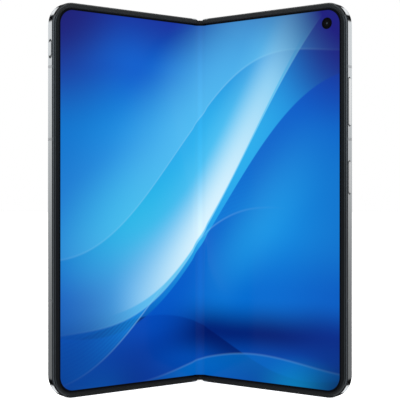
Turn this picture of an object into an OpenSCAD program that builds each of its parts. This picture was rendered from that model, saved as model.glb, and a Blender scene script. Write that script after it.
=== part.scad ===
/* [Body] */
// Height of the phone
body_h = 156; // [150:1:164]
// Width of one half, from the fold line to its outer side
half_w = 72.5; // [70:0.1:78]
// Thickness of one half
half_t = 4.8; // [4.8:0.1:5.4]
// How far each half is swung forward from flat, in degrees
half_tilt = 37; // [0:1:89]
// Corner radius of the body in front view
corner_r = 9.4; // [7:0.1:12]
// Chamfer round the front edge
front_chamfer = 0.4; // [0.3:0.02:0.8]
// Rounding of the back edge
back_round = 1.6; // [1.4:0.1:2]
// Thickness of the side and end rails
rail_w = 2.4; // [2.2:0.1:3]
// Thickness of the deck under the display
deck_t = 0.5; // [0.4:0.05:0.6]
// Thickness of the glass and of the fold lip on the back
cover_t = 0.7; // [0.5:0.05:0.8]
// Distance from the outer face to the edge of the back glass
cover_in = 1.3; // [1.2:0.1:1.4]

/* [Display] */
// Bare metal rim between the chamfer and the bezel, from the outer face
rim_w = 1.4; // [1:0.05:1.6]
// Distance from the outer face to the wall of the display pocket
pocket_in = 2; // [1.8:0.05:2.15]
// Distance from the outer side to the visible display
side_margin = 3.05; // [2.6:0.05:4]
// Distance from the outer end to the visible display
end_margin = 2.35; // [2.2:0.05:3]
// Corner radius of the visible display
display_r = 5.4; // [3:0.1:8]
// Thickness of the bezel that stands in front of the display
bezel_t = 0.25; // [0.15:0.05:0.3]
// Thickness of the flexible display
panel_t = 0.35; // [0.25:0.05:0.4]
// Thickness of the steel plate that backs the display
plate_t = 0.2; // [0.1:0.05:0.25]
// Width that bends on each side of the fold line
fold_zone = 5.5; // [5:0.1:6]
// Diameter of the camera hole in the display
hole_d = 3.9; // [3:0.1:5]

/* [Hinge] */
// Distance of each fold axis from the fold line
axis_x = 1.6; // [1.5:0.05:1.7]
// Space between the two halves when the phone is shut
shut_gap = 0.6; // [0.4:0.05:0.8]
// Clearance between the spine and the lips that sweep over it
lip_clear = 0.15; // [0.1:0.01:0.2]
// Distance of each lip from the fold line when the phone is flat
lip_gap = 0.12; // [0.1:0.01:0.2]
// Wall of the spine cover
spine_wall = 0.45; // [0.4:0.01:0.5]
// How far the ends of the spine lie below the ends of the phone
spine_drop = 0.43; // [0.3:0.01:0.8]
// Distance of the two guide blocks from the ends of the phone
guide_from_end = 30; // [24:1:40]
// Width of one swing arm along the phone
swing_w = 5.6; // [4:0.1:6]
// Inner radius of the arc rail on a swing arm
rail_r = 1.1; // [1:0.05:1.2]
// Radial thickness of that arc rail
rail_t = 0.8; // [0.6:0.05:0.8]
// Clearance of the arc rails in their slots
slide_clear = 0.08; // [0.04:0.01:0.1]
// How far the wing plates tip when the phone is shut, in degrees
wing_tip = 14; // [10:1:15]

/* [Gear train] */
// Module of the four gears
gear_m = 0.15; // [0.14:0.01:0.15]
// Teeth on each gear
gear_n = 10; // [8:2:10]
// Width of the gear teeth along the phone
gear_w = 2.4; // [2:0.1:3]
// Thickness of a synchronising arm along the phone
sync_w = 1.9; // [1.4:0.1:2.4]
// Radius of the outer gear shafts
shaft_r = 0.42; // [0.35:0.01:0.5]
// Running clearance of every shaft in its bore
run_clear = 0.03; // [0.02:0.005:0.05]
// Friction clips on each end of a gear shaft
clip_count = 4; // [2:1:6]
// Thickness of one friction clip
clip_t = 1.2; // [0.8:0.1:1.5]

/* [Side keys] */
// Width of the keys from front to back
key_w = 2.1; // [1.8:0.05:2.2]
// How far the keys stand out of the side
key_proud = 0.2; // [0.1:0.05:0.4]
// Clearance round every key
key_clear = 0.12; // [0.1:0.01:0.2]
// Clearance at the two ends of the volume and power keys
key_end_clear = 0.25; // [0.15:0.01:0.3]
// Length of the volume rocker
volume_len = 18.6; // [15:0.1:22]
// Distance of the middle of the volume rocker from the top
volume_drop = 39.5; // [36:0.5:44]
// Length of the power key
power_len = 12.6; // [10:0.1:15]
// Distance of the middle of the power key from the top
power_drop = 69.1; // [66:0.1:72]
// Length of the alert slider
slider_len = 5.8; // [5:0.1:8]
// Distance of the middle of the alert slider from the top
slider_drop = 18.8; // [18:0.1:22]
// Travel of the alert slider each way
slider_travel = 0.8; // [0.6:0.1:1.8]
// Width of an antenna band
band_w = 1.1; // [0.8:0.1:1.6]

/* [Cameras and sockets] */
// Width of the rear camera island
island_w = 34; // [30:1:40]
// Height of the rear camera island
island_h = 38; // [36:1:42]
// How far the island stands out of the back
island_t = 1.5; // [1:0.1:2.5]
// Diameter of a rear lens window
lens_d = 11; // [9:0.5:12]
// Diameter of the camera barrel behind a window
barrel_d = 8.4; // [6:0.2:8.6]
// Width of the charging socket
socket_w = 8.4; // [8:0.1:9]
// Height of the charging socket
socket_t = 2.5; // [2.4:0.05:2.6]
// Width of the card tray
tray_w = 13; // [12:0.5:16]
// Depth of the card tray
tray_len = 14; // [12:0.5:18]
// Thickness of the card tray
tray_t = 1.1; // [0.9:0.1:1.3]

/* [Hidden] */
$fn = 48;
cut = 1;               // how far a cutting solid runs past what it cuts
seat = 0.02;           // gap between curved faces that rest on each other

// Depths from the front of a half to its back
axis_y = axis_x - shut_gap / 2;
panel_y = bezel_t;
plate_y = panel_y + panel_t;
deck_y = plate_y + plate_t;
inside_y = deck_y + deck_t;
cover_y = half_t - cover_t;

// Radii round a fold axis
cavity_r = cover_y - axis_y;
spine_r = cavity_r - lip_clear;
bore_r = spine_r - spine_wall;

// Heights across the spine, measured like the depths
edge_y = axis_y + spine_r * sin(26);       // free edge of the spine cover
block_y = 1.45;                            // front of what fills the spine
centre_y = block_y - 0.3;                  // back of the centre plate
slab_y = axis_y - 0.1;                     // back of the rail where it reaches over the spine
slab_x = axis_x + 0.1;                     // where that stretch of rail ends
link_y = edge_y - 0.5;                     // front of an arm where it crosses the spine's edge
link_t = 0.4;                              // thickness of an arm there

// Where the deck and the wall that close a half towards the fold stand
wing_t = 0.3;
wing_y = deck_y + 0.05 + wing_t / 2;
wing_x = fold_zone + 0.1;
wing_in = 2.2;
deck_x = wing_x + 0.15;
fold_steps = 12;
wall_x = deck_x + 1.15;

// Gear train
pressure = 25;                             // pressure angle of the teeth
tooth_thin = 1.6;                          // degrees left off each flank for a free run
gear_r = gear_m * gear_n / 2;
tip_r = gear_r + gear_m;
root_r = gear_r - 1.25 * gear_m;
base_r = gear_r * cos(pressure);
gear_y = 2.3;
outer_gear_x = 3 * gear_r;
inner_gear_x = gear_r;
mid_z = body_h / 2;
gear_z = mid_z - gear_w + 0.2;
sync_z = mid_z + 0.3;
bearing_t = 1;
low_bearing_z = gear_z - 0.1 - bearing_t;
high_bearing_z = sync_z + sync_w + 0.1;
clip_pitch = clip_t + 0.1;
shaft_end = clip_count * clip_pitch + 0.2;
pin_r = 0.3;
pin_x = outer_gear_x + 4.6;                // guide pin of a synchronising arm, phone flat
pin_y = gear_y - 0.1;
slot_r = norm([outer_gear_x - axis_x, gear_y - axis_y]);
slot_x = pin_x - outer_gear_x + axis_x;
slot_y = pin_y - gear_y + axis_y;
slot_start = atan2(gear_y - axis_y, outer_gear_x - axis_x);
guide_t = 1.1;
guide_depth = slot_y + slot_r + pin_r + 0.5 - (deck_y + deck_t);

// Guide blocks: right arms below the middle of the block, left arms above it
guide_zs = [guide_from_end, body_h - guide_from_end];
arm_gap = 0.4;
arm_far = arm_gap + swing_w;
block_half = arm_far + 1.6;
arc_start = 18;
arc_end = 150;
screw_z = block_half - 0.8;
screw_x = 1.2;
screw_r = 0.36;
head_sink = 0.45;
arm_screw_xs = [9.2, 12];

// Flat cables that cross the hinge
flex_w = 6;
flex_t = 0.12;
flex_zs = [mid_z - 24, mid_z + 18];
flex_y = 1.9;

// Wing plate notches and wall windows as [height, length] along the phone
notches = [for (z = guide_zs) [z - arm_far - 0.3, 2 * arm_far + 0.6],
           for (z = flex_zs) [z - 0.5, flex_w + 1],
           [sync_z - guide_t - 0.5, sync_w + 2 * guide_t + 1.1]];

// The whole phone is centred front to back
y_front = axis_y - sin(half_tilt) * (half_w - front_chamfer - axis_x) - cos(half_tilt) * axis_y;
y_back = axis_y + sin(half_tilt) * (axis_x - lip_gap) + cos(half_tilt) * (half_t - axis_y);
y_shift = -(y_front + y_back) / 2;

// Keys
cap_y = front_chamfer + 0.3 + key_w / 2;    // middle of a key's cap
cap_t = 1.2;                               // how far the cap reaches into the rail
cap_room = 0.3;                            // free travel behind the cap
stem_w = 1.3;
stem_y = inside_y + 0.08 + stem_w / 2;     // middle of the stem that passes through the rail
stem_in = 1;                               // how much shorter the stem is at each end
slider_neck = slider_len - 3;
slider_pocket = 0.5;
key_flange = 0.35;
flange_past = 0.6;
press_gap = 0.25;
volume_z = body_h - volume_drop;
power_z = body_h - power_drop;
slider_z = body_h - slider_drop;
band_zs = [38.8, body_h - 54.2, body_h - 25.8];

// Inside a half
inner_x = 15;                              // nearest that the inner parts come to the fold
outer_x = half_w - rail_w;
board_t = 0.8;
board_y = inside_y + 0.3;
battery_t = 2.4;
island_x = half_w - island_w / 2 - 9.9;
island_z = body_h - island_h / 2 - 10;
lens_pos = [[-8, 9.5], [8, 9.5], [-8, -7]];
flash_pos = [8, -7];
flash_d = 5;
inner_cam_x = half_w - 9.4;
inner_cam_z = body_h - 8.1;
inner_cam_d = 5.2;
inner_cam_body = 6;
camera_base = 9.6;
camera_room = camera_base / 2 + 0.3;
socket_x = half_w / 2 + 2;
socket_len = 7.5;
mouth_y = (front_chamfer + cover_y) / 2 + 0.2;
hole_pitch = 2.2;
sound_hole_d = 1.1;
mic_d = 0.9;
eject_d = 0.8;
speaker_w = 16;
speaker_h = 12;
speaker_x = half_w - speaker_w / 2 - 10.9;
earpiece_w = 15;
earpiece_h = 8;
motor_pos = [half_w - 19.9, 25];
motor_r = 5;
motor_t = 2.2;
tray_x = inner_x + tray_w / 2 + 0.5;
mic_x = (tray_x + tray_w / 2 + socket_x - socket_w / 2) / 2;
cover_cam_x = half_w / 2 + 2.55;
cover_cam_z = body_h - 9;
cover_cam_r = 1.9;
cover_cam_body = 6;
cover_cam_room = cover_cam_body / 2 + 0.4;

// Boards and batteries, as distances from the top of the phone or from the foot
board_top = body_h - 5;
board_h = 51;
board_foot = board_top - board_h;
left_board_h = 32;
left_board_foot = board_top - left_board_h;
sub_board_foot = 9.5;
sub_board_h = 22;
battery_foot = 34;
left_battery_foot = 14;
battery_gap = 2;
battery_r = 1;
boss_r = 1.2;
boss_in = 3;
board_screws = [[inner_x + boss_in, board_top - boss_in], [half_w - 2 * boss_in, board_foot + boss_in + 1],
                [inner_x + boss_in, board_foot + boss_in + 1]];
left_board_screws = [[inner_x + boss_in, board_top - boss_in],
                     [half_w - 2 * boss_in, left_board_foot + boss_in + 1]];

// Shield cans as [x, foot, width, height], clear of the cameras
can_gap = 1;
can_w = island_x - 8 - camera_room - 0.9 - inner_x - can_gap;
can_h = 14;
shields = [[inner_x + can_gap, board_foot + 10, can_w, can_h],
           [inner_x + can_gap, board_foot + 26, can_w - 2, can_h + 3],
           [island_x - 11.6, board_foot + battery_gap, 26, can_h - 3]];

silver = [0.77, 0.79, 0.81];
dark = [0.12, 0.13, 0.15];
black = [0.03, 0.03, 0.04];
steel = [0.62, 0.64, 0.66];
board = [0.05, 0.25, 0.2];
copper = [0.72, 0.45, 0.25];

// ---- Places ----

module swing(angle) {
    translate([axis_x, axis_y, 0]) rotate([0, 0, -angle]) translate([-axis_x, -axis_y, 0])
        children();
}

module on_spine() {
    translate([0, y_shift, 0]) children();
}

module on_right() {
    on_spine() swing(half_tilt) children();
}

module on_left() {
    mirror([1, 0, 0]) on_right() children();
}

// Stands a drawing of (x, height) up as a plate from depth y to y + t
module plate(y, t) {
    translate([0, y + t, 0]) rotate([90, 0, 0]) linear_extrude(t) children();
}

// A round post along the depth
module post(x, y, z, r, t) {
    translate([x, y + t, z]) rotate([90, 0, 0]) cylinder(r = r, h = t);
}

module block(x, y, z, size) {
    translate([x, y, z]) cube(size);
}

module both_ends() {
    children();
    translate([0, 0, body_h]) mirror([0, 0, 1]) children();
}

// ---- Outlines ----

// A slot shape where r is half of h
module round_rect(w, h, r) {
    square([w - 2 * r, h], center = true);
    if (h > 2 * r + 0.001) square([w, h - 2 * r], center = true);
    for (x = [-1, 1], y = h > 2 * r + 0.001 ? [-1, 1] : [0])
        translate([x * (w / 2 - r), y * (h / 2 - r)]) circle(r);
}

// Front view of a half from x0 to the outer side, drawn in by side_in and end_in
module half_outline(x0, side_in, end_in, r) {
    x1 = half_w - side_in;
    h = body_h - 2 * end_in;
    translate([x0, end_in]) square([x1 - r - x0, h]);
    translate([x0, end_in + r]) square([x1 - x0, h - 2 * r]);
    for (z = [end_in + r, end_in + h - r]) translate([x1 - r, z]) circle(r);
}

// Section of a rail: x runs inwards from the outer face, y from front to back
module rail_section() {
    difference() {
        polygon([[0, front_chamfer], [front_chamfer, 0], [rim_w, 0], [rim_w, bezel_t],
                 [pocket_in, bezel_t], [pocket_in, deck_y], [rail_w, deck_y], [rail_w, cover_y],
                 [cover_in, cover_y], [cover_in, half_t], [0, half_t]]);
        difference() {
            translate([-cut, half_t - back_round]) square([cut + back_round, back_round + cut]);
            translate([back_round, half_t - back_round]) circle(back_round);
        }
    }
}

// Sweeps a section round the bottom, the outer side and the top of a half
module around_half(x0) {
    straight = half_w - corner_r;
    translate([half_w, 0, corner_r]) mirror([1, 0, 0])
        linear_extrude(body_h - 2 * corner_r) children();
    both_ends() {
        translate([straight, 0, 0]) rotate([0, -90, 0]) linear_extrude(straight - x0) children();
        translate([straight, 0, corner_r]) rotate([-90, 0, 0]) rotate_extrude(angle = 90)
            translate([corner_r, 0]) mirror([1, 0]) children();
    }
}

// Section of the spine at radius r round both fold axes, behind depth y0
module spine_section(r, y0) {
    intersection() {
        union() {
            for (s = [-1, 1]) translate([s * axis_x, axis_y]) circle(r);
            translate([-axis_x, axis_y - r]) square([2 * axis_x, 2 * r]);
        }
        translate([-half_t * 2, y0]) square([half_t * 4, half_t * 2]);
    }
}

// What the fold takes away from a rail, seen from the end of the phone
module fold_room() {
    intersection() {
        translate([axis_x, axis_y]) circle(cavity_r);
        translate([0, slab_y]) square([half_t * 2, half_t]);
    }
    translate([-half_t, slab_y]) square([half_t + axis_x, cover_y - slab_y]);
    translate([-half_t, -cut]) square([half_t + slab_x, slab_y + cut]);
    translate([-half_t, -cut]) square([half_t + lip_gap, half_t + 2 * cut]);
}

// A ring sector round the origin, from angle a0 to a1
module ring_sector(r0, r1, a0, a1) {
    reach = r1 * 2;
    mid = (a0 + a1) / 2;
    difference() {
        intersection() {
            circle(r1);
            polygon([[0, 0], reach * [cos(a0), sin(a0)], reach * [cos(mid), sin(mid)],
                     reach * [cos(a1), sin(a1)]]);
        }
        circle(r0);
    }
}

// ---- Frames ----

// A slot with round ends, cut into the outer side to a depth
module side_slot(y, z, len, w, depth) {
    translate([half_w + cut, y, z]) rotate([0, -90, 0]) linear_extrude(depth + cut)
        round_rect(len, w, w / 2);
}

module stem_slot(z, len) {
    side_slot(stem_y, z, len + 2 * key_clear, stem_w + 2 * key_clear, rail_w + cut);
}

module key_pocket(z, len) {
    side_slot(cap_y, z, len + 2 * key_end_clear, key_w + 2 * key_clear, cap_t + cap_room);
    stem_slot(z, len - 2 * stem_in);
}

// A row of sound holes along x through an end rail
module sound_holes(x, z) {
    for (i = [-2:2]) translate([x + hole_pitch * i, mouth_y, z - cut])
        cylinder(d = sound_hole_d, h = rail_w + 2 * cut);
}

// The strip of back beside the fold, and the wall that closes a half towards it
module fold_wall() {
    h = body_h - 2 * rail_w + 0.6;
    difference() {
        translate([0, 0, rail_w - 0.3]) {
            block(0, edge_y, 0, [wall_x, half_t - edge_y, h]);
            block(deck_x, deck_y, 0, [wall_x - deck_x, half_t - deck_y, h]);
        }
        for (n = notches) block(deck_x - 2.3, inside_y, n[0] - 0.2,
                                [wall_x - deck_x + 2.4, 2, n[1] + 0.4]);
    }
}

module frame() {
    difference() {
        union() {
            around_half(0) rail_section();
            fold_wall();
            plate(deck_y, deck_t) half_outline(deck_x, rail_w - 0.3, rail_w - 0.3, corner_r - rail_w);
        }
        translate([0, 0, -cut]) linear_extrude(body_h + 2 * cut) fold_room();
        both_ends() {
            slab_end_rounding();
            block(0, deck_y, pocket_in, [deck_x, slab_y - deck_y + 1, rail_w]);
        }
        translate([wing_x, wing_y, 0]) cylinder(r = wing_t / 2 + 0.06, h = body_h);
        band_slots();
    }
}

module band_slots() {
    for (z = band_zs) block(half_w - cover_in, -cut, z - band_w / 2,
                            [cover_in + cut, half_t + 2 * cut, band_w]);
}

// Rounds the corner of the rail beside the fold
module slab_end_rounding() {
    r = 1.3;
    translate([slab_x, -cut, 0]) difference() {
        block(-cut, 0, -cut, [cut + r, cut + slab_y, cut + r]);
        post(r, -cut, r, r, 3 * cut + slab_y);
    }
}

module right_frame() {
    color(silver) on_right() difference() {
        frame();
        key_pocket(volume_z, volume_len);
        key_pocket(power_z, power_len);
        post(inner_cam_x, 0, inner_cam_z, inner_cam_d / 2 + 0.1, half_t - cover_t);
        translate([socket_x, mouth_y, -cut]) linear_extrude(rail_w + 2 * cut)
            round_rect(socket_w + 0.6, socket_t + 0.6, socket_t / 2 + 0.29);
        block(tray_x - tray_w / 2 - key_clear, mouth_y - tray_t / 2 - key_clear, -cut,
              [tray_w + 2 * key_clear, tray_t + 2 * key_clear, rail_w + 2 * cut]);
        sound_holes(speaker_x, 0);
        translate([mic_x, mouth_y, -cut]) cylinder(d = mic_d, h = rail_w / 2 + cut);
        block(socket_x - socket_w / 2 - 0.5, deck_y - cut, rail_w,
              [socket_w + 1, cut + deck_t + 0.01, socket_len]);
    }
}

module left_frame() {
    color(silver) on_left() difference() {
        frame();
        side_slot(cap_y, slider_z, slider_len + 2 * (slider_travel + key_clear), key_w + 2 * key_clear,
                  slider_pocket);
        stem_slot(slider_z, slider_neck + 2 * slider_travel);
        post(cover_cam_x, cover_y - 0.4, cover_cam_z, cover_cam_r + 0.3, 0.4);
        sound_holes(cover_cam_x, body_h - rail_w);
    }
}

module antenna_bands() {
    intersection() {
        around_half(0) rail_section();
        band_slots();
    }
}

module right_antenna_bands() {
    color(steel) on_right() antenna_bands();
}

module left_antenna_bands() {
    color(steel) on_left() antenna_bands();
}

// ---- Display ----

module bezel() {
    plate(0, bezel_t) difference() {
        half_outline(slab_x, rim_w, rim_w, corner_r - rim_w);
        half_outline(-cut, side_margin, end_margin, display_r);
    }
}

module panel(y, t, x0) {
    plate(y, t) half_outline(x0, pocket_in + 0.1, pocket_in + 0.1, corner_r - pocket_in - 0.1);
}

module right_bezel() {
    color(dark) on_right() bezel();
}

module left_bezel() {
    color(dark) on_left() bezel();
}

module right_display() {
    color([0.1, 0.3, 0.7]) on_right() difference() {
        panel(panel_y, panel_t, fold_zone);
        post(inner_cam_x, 0, inner_cam_z, hole_d / 2, half_t);
    }
}

module left_display() {
    color([0.1, 0.3, 0.7]) on_left() panel(panel_y, panel_t, fold_zone);
}

module right_display_plate() {
    color(steel) on_right() difference() {
        panel(plate_y, plate_t, fold_zone + 0.4);
        post(inner_cam_x, 0, inner_cam_z, inner_cam_d / 2 + 0.1, half_t);
    }
}

module left_display_plate() {
    color(steel) on_left() panel(plate_y, plate_t, fold_zone + 0.4);
}

function turned(x, y, angle) = [axis_x + (x - axis_x) * cos(angle) + (y - axis_y) * sin(angle),
                                axis_y - (x - axis_x) * sin(angle) + (y - axis_y) * cos(angle)];
function ease(t) = t * t * (3 - 2 * t);
function folded(x, y) = turned(x, y, half_tilt * ease(x / fold_zone));

// Points of the bent display at depth y, from the fold line to the right half
function fold_line(y) = [for (i = [0:fold_steps]) folded(fold_zone * i / fold_steps, y)];
function flipped(points) = [for (i = [len(points) - 1:-1:1]) [-points[i][0], points[i][1]]];
function reversed(points) = [for (i = [len(points) - 1:-1:0]) points[i]];

module display_fold() {
    front = concat(flipped(fold_line(panel_y + seat)), fold_line(panel_y + seat));
    back = concat(flipped(fold_line(plate_y)), fold_line(plate_y));
    color([0.1, 0.3, 0.7]) on_spine() translate([0, 0, pocket_in + 0.1])
        linear_extrude(body_h - 2 * pocket_in - 0.2) polygon(concat(front, reversed(back)));
}

// ---- Spine ----

module hinge_spine_cover() {
    color(silver) on_spine() translate([0, 0, spine_drop])
        linear_extrude(body_h - 2 * spine_drop) difference() {
            spine_section(spine_r, edge_y);
            spine_section(bore_r, edge_y - cut);
        }
}

module hinge_end_caps() {
    cap_t = 2.6;
    color(dark) on_spine() both_ends() translate([0, 0, spine_drop]) linear_extrude(cap_t) {
        spine_section(bore_r - seat, block_y);
        intersection() {
            spine_section(spine_r, block_y);
            translate([-half_t * 2, 0]) square([half_t * 4, edge_y - seat]);
        }
    }
}

// Slot for the arc rail of the right arm
module arc_slot() {
    translate([axis_x, axis_y]) {
        ring_sector(rail_r - slide_clear, rail_r + rail_t + slide_clear, 0, arc_end + 4);
        translate([rail_r, -cut]) square([half_t, cut + edge_y - axis_y]);
    }
}

module hinge_guide_blocks() {
    color(steel) on_spine() for (z = guide_zs) translate([0, 0, z]) difference() {
        translate([0, 0, -block_half]) linear_extrude(2 * block_half) {
            spine_section(bore_r - seat, block_y);
            translate([-0.6, centre_y]) square([1.2, 1]);
        }
        translate([0, 0, -arm_far - slide_clear]) linear_extrude(swing_w + 2 * slide_clear)
            arc_slot();
        mirror([1, 0, 0]) translate([0, 0, arm_gap - slide_clear])
            linear_extrude(swing_w + 2 * slide_clear) arc_slot();
        for (s = [-1, 1]) {
            post(s * screw_x, block_y - cut, s * screw_z, screw_r + 0.03, half_t);
            post(s * screw_x, block_y - cut, s * screw_z, 1.8 * screw_r + 0.06, cut + head_sink);
        }
    }
}

module centre_support_plate() {
    w = 3.1;
    color(steel) on_spine() translate([-w / 2, centre_y - wing_t, spine_drop + 3])
        cube([w, wing_t, body_h - 2 * spine_drop - 6]);
}

// ---- Swing arms ----

module swing_arm() {
    pad_x = wall_x + 0.4;
    linear_extrude(swing_w) {
        translate([axis_x, axis_y]) ring_sector(rail_r, rail_r + rail_t, arc_start, arc_end);
        translate([axis_x + rail_r + 0.3, link_y]) square([pad_x - axis_x - rail_r, link_t]);
    }
    difference() {
        block(pad_x, inside_y, 0, [inner_x - 1 - pad_x, link_y + link_t - inside_y, swing_w]);
        for (x = arm_screw_xs) post(x, inside_y - cut, swing_w / 2, 0.5, half_t);
    }
}

module right_swing_arms() {
    color(steel) on_right() for (z = guide_zs) translate([0, 0, z - arm_far]) swing_arm();
}

module left_swing_arms() {
    color(steel) on_left() for (z = guide_zs) translate([0, 0, z + arm_gap]) swing_arm();
}

// A pan head screw of shank radius r along the depth, its head towards the back
module screw(x, y, z, len, r = 0.46) {
    head_t = 0.4;
    post(x, y - len, z, r, len);
    difference() {
        post(x, y, z, 1.8 * r, head_t);
        for (a = [0, 90]) translate([x, y + head_t, z]) rotate([0, a, 0])
            cube([2 * r, head_t, 0.5 * r], center = true);
    }
}

module arm_screws(z0) {
    for (z = guide_zs, x = arm_screw_xs)
        screw(x, link_y + link_t, z + z0 + swing_w / 2, link_y + link_t - inside_y);
}

module right_screws() {
    color(steel) on_right() {
        arm_screws(-arm_far);
        for (p = board_screws) screw(p[0], board_y + board_t, p[1], board_t);
    }
}

module left_screws() {
    color(steel) on_left() {
        arm_screws(arm_gap);
        for (p = left_board_screws) screw(p[0], board_y + board_t, p[1], board_t);
    }
}

module hinge_screws() {
    color(steel) on_spine() for (z = guide_zs, s = [-1, 1])
        translate([s * screw_x, block_y + head_sink, z + s * screw_z]) mirror([0, 1, 0])
            screw(0, 0, 0, bore_r + axis_y - block_y - head_sink - 0.1, screw_r);
}

// ---- Gear train ----

// Involute gear outline, its teeth a little thin so that they run free
function involute(a) = tan(a) * 180 / PI - a;
function half_tooth(r) = 90 / gear_n - tooth_thin + involute(pressure)
                         - (r > base_r ? involute(acos(base_r / r)) : 0);

module gear_outline(turn) {
    flank = [root_r - 0.1, base_r, (base_r + gear_r) / 2, gear_r, (gear_r + tip_r) / 2, tip_r];
    circle(root_r);
    for (i = [0:gear_n - 1]) rotate(turn + 360 / gear_n * i) polygon(concat(
        [for (r = flank) r * [cos(half_tooth(r)), -sin(half_tooth(r))]],
        [for (r = reversed(flank)) r * [cos(half_tooth(r)), sin(half_tooth(r))]]));
}

module sync_arm(turn) {
    eye_r = 0.5;
    shaft_z = low_bearing_z - shaft_end;
    translate([outer_gear_x, gear_y, 0]) {
        translate([0, 0, gear_z]) linear_extrude(gear_w) gear_outline(turn);
        translate([0, 0, shaft_z])
            cylinder(r = shaft_r, h = high_bearing_z + bearing_t + shaft_end - shaft_z);
        translate([0, 0, gear_z + gear_w - 0.01])
            cylinder(r = root_r - 0.05, h = sync_z - gear_z - gear_w + 0.02);
    }
    translate([0, 0, sync_z]) linear_extrude(sync_w) {
        translate([outer_gear_x, gear_y]) circle(root_r + 0.1);
        translate([outer_gear_x, link_y + 0.03]) square([pin_x - outer_gear_x, link_t - 0.04]);
        translate([pin_x, pin_y]) circle(eye_r);
    }
    translate([pin_x, pin_y, sync_z - guide_t]) cylinder(r = pin_r, h = sync_w + 2 * guide_t);
}

module sync_place() {
    translate([outer_gear_x, gear_y, 0]) rotate([0, 0, -half_tilt])
        translate([-outer_gear_x, -gear_y, 0]) children();
}

module right_sync_arm() {
    color(steel) on_spine() sync_place() sync_arm(0);
}

module left_sync_arm() {
    color(steel) on_spine() mirror([1, 0, 0]) sync_place() sync_arm(180 / gear_n);
}

module idler(turn) {
    shaft_z = low_bearing_z;
    linear_extrude(gear_w) rotate(turn) gear_outline(0);
    translate([0, 0, shaft_z - gear_z]) cylinder(r = pin_r, h = high_bearing_z + bearing_t - shaft_z);
}

module right_idler_gear() {
    color(copper) on_spine() translate([inner_gear_x, gear_y, gear_z])
        idler(180 / gear_n + half_tilt);
}

module left_idler_gear() {
    color(copper) on_spine() translate([-inner_gear_x, gear_y, gear_z]) idler(-half_tilt);
}

module bearing_plate() {
    difference() {
        linear_extrude(bearing_t) spine_section(bore_r - seat, block_y);
        for (s = [-1, 1]) {
            translate([s * outer_gear_x, gear_y, -cut]) cylinder(r = shaft_r + run_clear, h = 3 * cut);
            translate([s * inner_gear_x, gear_y, -cut]) cylinder(r = pin_r + run_clear, h = 3 * cut);
        }
    }
}

module gear_bearing_plates() {
    color(steel) on_spine() for (z = [low_bearing_z, high_bearing_z])
        translate([0, 0, z]) bearing_plate();
}

// A spring clip that grips a gear shaft, its foot on the floor of the spine
module friction_clip() {
    intersection() {
        difference() {
            union() {
                circle(shaft_r + 0.4);
                translate([-0.7, 0]) square([1.1, half_t]);
            }
            circle(shaft_r + run_clear);
            translate([0, -half_t]) square([0.3, half_t]);
        }
        translate([-outer_gear_x, -gear_y]) spine_section(bore_r - seat, block_y);
    }
}

module friction_clips() {
    color(copper) on_spine() for (side = [0, 1], i = [0:clip_count - 1],
                                  z = [low_bearing_z - 0.1 - clip_t - i * clip_pitch,
                                       high_bearing_z + bearing_t + 0.1 + i * clip_pitch])
        mirror([side, 0, 0]) translate([outer_gear_x, gear_y, z])
            linear_extrude(clip_t) friction_clip();
}

// Two cheeks on a half, each with an arc slot for the guide pin
module sync_guide() {
    difference() {
        union() {
            for (z = [sync_z - guide_t - 0.05, sync_z + sync_w + 0.05])
                block(deck_x + 0.1, inside_y, z, [5.2, guide_depth, guide_t]);
            block(deck_x + 3.3, inside_y, sync_z - guide_t - 0.05,
                  [2, guide_depth, sync_w + 2 * guide_t + 0.1]);
        }
        translate([slot_x, slot_y, 0]) linear_extrude(body_h) {
            ring_sector(slot_r - pin_r - 0.08, slot_r + pin_r + 0.08, slot_start, slot_start + 92);
            for (a = [slot_start, slot_start + 92])
                translate(slot_r * [cos(a), sin(a)]) circle(pin_r + 0.08);
        }
    }
}

module right_sync_guide() {
    color(steel) on_right() sync_guide();
}

module left_sync_guide() {
    color(steel) on_left() sync_guide();
}

// ---- Wing plates ----

module wing() {
    z0 = rail_w + 0.2;
    difference() {
        union() {
            block(wing_in, wing_y - wing_t / 2, z0, [wing_x - wing_in, wing_t, body_h - 2 * z0]);
            translate([wing_x, wing_y, z0]) cylinder(r = wing_t / 2, h = body_h - 2 * z0);
        }
        for (n = notches) block(wing_in - cut, 0, n[0], [wing_x - wing_in - 0.8 + cut, 2, n[1]]);
    }
}

module tipped() {
    translate([wing_x, wing_y, 0]) rotate([0, 0, -wing_tip * half_tilt / 90])
        translate([-wing_x, -wing_y, 0]) children();
}

module right_wing_plate() {
    color(steel) on_right() tipped() wing();
}

module left_wing_plate() {
    color(steel) on_left() tipped() wing();
}

// ---- Flat cables over the hinge ----

function bezier(p, t) = pow(1 - t, 3) * p[0] + 3 * t * pow(1 - t, 2) * p[1]
                        + 3 * t * t * (1 - t) * p[2] + pow(t, 3) * p[3];
flex_floor = axis_y + bore_r - 0.3;
flex_path = [turned(wall_x, flex_y, half_tilt), turned(axis_x + 2.4, flex_y, half_tilt),
             [axis_x + 1.9, flex_floor - 0.1], [axis_x, flex_floor]];
flex_curve = concat([turned(wall_x + 5, flex_y, half_tilt)],
                    [for (i = [0:10]) bezier(flex_path, i / 10)]);

module hinge_flex() {
    both = concat([for (p = flex_curve) [-p[0], p[1]]], reversed(flex_curve));
    color(copper) on_spine() for (z = flex_zs) translate([0, 0, z]) linear_extrude(flex_w)
        polygon(concat(both, reversed([for (p = both) p + [0, flex_t]])));
}

// ---- Inside the right half ----

module rear_cover() {
    color(dark) on_right() difference() {
        plate(cover_y, cover_t) half_outline(wall_x + 0.1, cover_in + 0.05, cover_in + 0.05,
                                             corner_r - cover_in - 0.05);
        for (p = lens_pos) post(island_x + p[0], 0, island_z + p[1], barrel_d / 2 + 0.15, 2 * half_t);
        post(island_x + flash_pos[0], 0, island_z + flash_pos[1], flash_d / 2 - 0.5, 2 * half_t);
    }
}

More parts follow.
